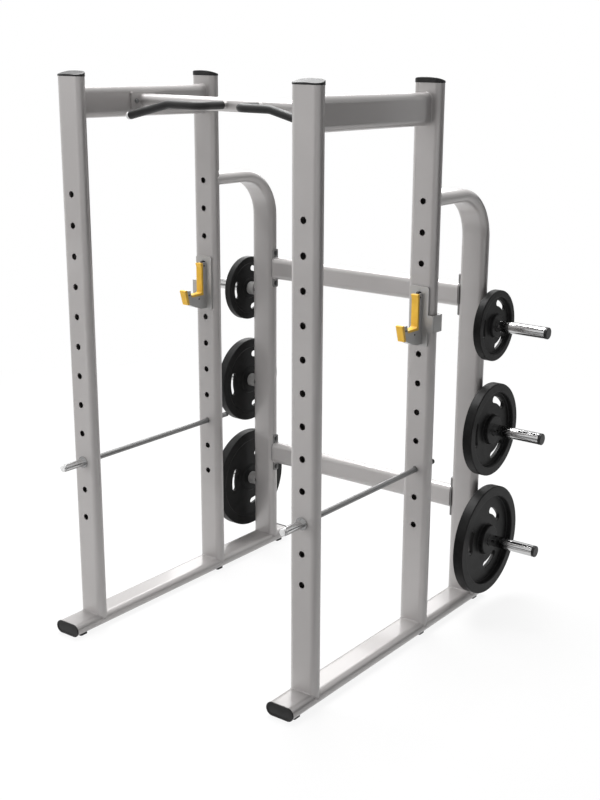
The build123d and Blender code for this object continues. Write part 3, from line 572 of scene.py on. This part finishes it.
def makeWeldTree():
    tree, source, sink = newTree("weldBead", {
        "Bead Radius": 0.003, "Ripple Pitch": 0.006, "Ripple Share": 0.12, "Step": 0.002})
    line = place(tree, "GeometryNodeMeshToCurve", {"Mesh": source["Geometry"]})
    line = place(tree, "GeometryNodeResampleCurve", {
        "Curve": line.outputs[0], "Length": source["Step"]}, mode="LENGTH")
    along = place(tree, "GeometryNodeSplineParameter")
    turns = reckon(tree, "DIVIDE", along.outputs["Length"], source["Ripple Pitch"])
    wave = reckon(tree, "SINE", reckon(tree, "MULTIPLY", turns, math.tau), 0.0)
    swell = reckon(tree, "MULTIPLY_ADD", wave, source["Ripple Share"], 1.0)
    ring = place(tree, "GeometryNodeCurvePrimitiveCircle", {
        "Resolution": facets["bead"], "Radius": source["Bead Radius"]})
    bead = place(tree, "GeometryNodeCurveToMesh", {
        "Curve": line.outputs[0], "Profile Curve": ring.outputs[0], "Scale": swell, "Fill Caps": True})
    smooth = place(tree, "GeometryNodeSetShadeSmooth", {"Geometry": bead.outputs[0]})
    endTree(tree, source, sink, smooth.outputs[0])
    return tree


def growPiece(name, host, tree, sizes, material, body, stoodFor=()):
    scene.collection.objects.link(host)
    modifier = host.modifiers.new(name, "NODES")
    modifier.node_group = tree
    for item in tree.interface.items_tree:
        if item.in_out == "INPUT" and item.name in sizes:
            modifier[item.identifier] = sizes[item.name]
        elif item.in_out == "INPUT" and item.name == "Material":
            modifier[item.identifier] = material
    graph = bpy.context.evaluated_depsgraph_get()
    mesh = bpy.data.meshes.new_from_object(host.evaluated_get(graph), depsgraph=graph)
    host.modifiers.remove(modifier)
    bpy.data.objects.remove(host)
    mesh.name = name
    piece = bpy.data.objects.new(name, mesh)
    scene.collection.objects.link(piece)
    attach(piece, body)
    if stoodFor:
        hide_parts(*stoodFor)


def pointHost(name, rows):
    mesh = bpy.data.meshes.new(name)
    mesh.from_pydata([spot for spot, _ in rows], [], [])
    facing = mesh.attributes.new("facing", "FLOAT_VECTOR", "POINT")
    facing.data.foreach_set("vector", [value for _, aim in rows for value in aim])
    return bpy.data.objects.new(name, mesh)


def lineHost(name, loops):
    points, edges = [], []
    for loop in loops:
        first = len(points)
        points += loop
        edges += [(first + i, first + i + 1) for i in range(len(loop) - 1)]
        edges.append((len(points) - 1, first))
    mesh = bpy.data.meshes.new(name)
    mesh.from_pydata(points, edges, [])
    return bpy.data.objects.new(name, mesh)


def middle(box, axis):
    return (box[0][axis] + box[1][axis]) / 2


def half(box, axis):
    return (box[1][axis] - box[0][axis]) / 2


hexBolt = makeHexBoltTree()
buttonScrew = makeButtonScrewTree()
weldBead = makeWeldTree()

chinBolts = {"apart": 0.138, "Head Radius": 0.0088, "Head Height": 0.006, "Washer Radius": 0.0104,
             "Washer Height": 0.0012, "Shank Length": 0.02}
rearBolts = {"apart": 0.139, "Head Radius": 0.0095, "Head Height": 0.003, "Washer Radius": 0.0115,
             "Washer Height": 0.001, "Shank Length": 0.016}


def placeBolts():
    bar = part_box("chin_bar")
    spots = []
    for side in (-1, 1):
        seat = bar[0][0] if side < 0 else bar[1][0]
        for step in (-0.5, 0.5):
            spots.append(((seat, middle(bar, 1) + step * chinBolts["apart"], middle(bar, 2)), (-side, 0, 0)))
    growPiece("chinBarHexBolts", pointHost("chinBoltSpots", spots), hexBolt, chinBolts,
              finishes["chinBolt"], "frame", ["chin_bar_bolts"])
    spots = []
    for name in ("rear_beam_upper", "rear_beam_lower"):
        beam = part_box(name)
        for side in (-1, 1):
            seat = beam[0][0] if side < 0 else beam[1][0]
            for step in (-0.5, 0.5):
                spot = (seat, middle(beam, 1), middle(beam, 2) + step * rearBolts["apart"])
                spots.append((spot, (-side, 0, 0)))
    growPiece("rearBeamHexBolts", pointHost("rearBoltSpots", spots), hexBolt, rearBolts,
              finishes["dark_steel"], "frame", ["rear_beam_bolts"])


hookScrews = {"Head Radius": 0.00425, "Head Height": 0.0024, "Socket Radius": 0.0018, "Socket Depth": 0.0011,
              "Shank Radius": 0.0029, "Shank Length": 0.0185,
              # reach from the back plate, drop from the pin
              "spots": ((0.014, 0.0075), (0.110, 0.123), (0.048, 0.148))}
linerBolt = {"Head Radius": 0.0070, "Head Height": 0.0085, "Socket Radius": 0.0030, "Socket Depth": 0.003,
             "Shank Radius": 0.004, "Shank Length": 0.016, "reach": 0.011}


def placeHookScrews():
    for side in ("left", "right"):
        arm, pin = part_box("hook_arm_" + side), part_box("hook_pin_" + side)
        spots = []
        for reach, drop in hookScrews["spots"]:
            for face in (-1, 1):
                x = arm[0][0] if face < 0 else arm[1][0]
                spots.append(((x, arm[1][1] - reach, middle(pin, 2) - drop), (face, 0, 0)))
        growPiece("hookScrews" + side.capitalize(), pointHost("hookScrewSpots" + side.capitalize(), spots),
                  buttonScrew, hookScrews, finishes["dark_steel"], "hook_" + side,
                  ["hook_screws_" + side])
        top = [((middle(arm, 0), arm[1][1] - linerBolt["reach"], arm[1][2]), (0, 0, 1))]
        growPiece("linerBolt" + side.capitalize(), pointHost("linerBoltSpot" + side.capitalize(), top),
                  buttonScrew, linerBolt, finishes["dark_steel"], "hook_" + side)


hornRivets = {"Head Radius": 0.0036, "Head Height": 0.00012, "Socket Radius": 0.0011, "Socket Depth": 0.00006,
              "Shank Radius": 0.0018, "Shank Length": 0.0028, "fromCap": 0.024}


def placeHornRivets():
    spots = []
    for side in ("left", "right"):
        for level in ("top", "middle", "bottom"):
            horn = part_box("storage_horn_" + side + "_" + level)
            x = horn[0][0] + hornRivets["fromCap"] if side == "left" else horn[1][0] - hornRivets["fromCap"]
            spots.append(((x, middle(horn, 1), horn[1][2]), (0, 0, 1)))
    growPiece("hornCapRivets", pointHost("hornRivetSpots", spots), buttonScrew, hornRivets,
              finishes["dark_steel"], "frame")


weldBeads = {"Bead Radius": 0.0027, "Ripple Pitch": 0.006, "Ripple Share": 0.10, "Step": 0.0015,
             "arcSteps": 14, "lap": 0.001}


def obround(longHalf, shortHalf):
    flat = longHalf - shortHalf
    ring = []
    for end in (1, -1):
        for i in range(weldBeads["arcSteps"] + 1):
            angle = math.pi * (i / weldBeads["arcSteps"] - 0.5)
            ring.append((end * (flat + shortHalf * math.cos(angle)), end * shortHalf * math.sin(angle)))
    return ring


def shoulder(across, longHalf, shortHalf):
    past = max(0.0, abs(across) - (longHalf - shortHalf))
    return math.sqrt(max(0.0, shortHalf * shortHalf - past * past))


def placeWelds():
    loops = []
    for side in ("left", "right"):
        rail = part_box("base_rail_" + side)
        posts = [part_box(row + "_upright_" + side) for row in ("front", "rear")]
        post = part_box("storage_post_" + side)
        depth = half(posts[0], 1)
        railX, railZ = middle(rail, 0), middle(rail, 2)
        wide, thick = half(rail, 0), half(rail, 2)
        for legY in (middle(posts[0], 1), middle(posts[1], 1), post[1][1] - depth):
            loops.append([(railX + a, legY + b, railZ + shoulder(a, wide, thick))
                          for a, b in obround(wide, depth)])
        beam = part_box("side_beam_" + side)
        for endY in (beam[0][1], beam[1][1]):
            loops.append([(middle(beam, 0) + b, endY, middle(beam, 2) + a)
                          for a, b in obround(half(beam, 2), half(beam, 0))])
        armZ = post[1][2] - thick
        loops.append([(railX + a, middle(posts[1], 1) + shoulder(a, wide, depth), armZ + b)
                      for a, b in obround(wide, thick)])
        for row in ("upper", "lower"):
            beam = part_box("rear_beam_" + row)
            endX = beam[0][0] - weldBeads["lap"] if side == "left" else beam[1][0] + weldBeads["lap"]
            loops.append([(endX, middle(beam, 1) + b, middle(beam, 2) + a)
                          for a, b in obround(half(beam, 2), half(beam, 1))])
        bar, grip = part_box("chin_bar"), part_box("grip_bar_" + side)
        endX = bar[0][0] if side == "left" else bar[1][0]
        loops.append([(endX, middle(bar, 1) + a, middle(bar, 2) + b)
                      for a, b in obround(half(bar, 1), half(bar, 2))])
        gripRadius = grip[1][2] - middle(bar, 2)
        rootX = grip[1][0] - gripRadius if side == "left" else grip[0][0] + gripRadius
        edgeY = middle(bar, 1) - half(bar, 1) + half(bar, 2)
        loop = []
        for i in range(facets["gripWeld"]):
            angle = math.tau * i / facets["gripWeld"]
            up = gripRadius * math.sin(angle)
            loop.append((rootX + gripRadius * math.cos(angle),
                         edgeY - shoulder(up, half(bar, 2), half(bar, 2)), middle(bar, 2) + up))
        loops.append(loop)
    growPiece("weldBeads", lineHost("weldLines", loops), weldBead, weldBeads,
              finishes["frame_paint"], "frame")


placeBolts()
placeHookScrews()
placeHornRivets()
placeWelds()
print("bolts, screws, rivets and welds grown")
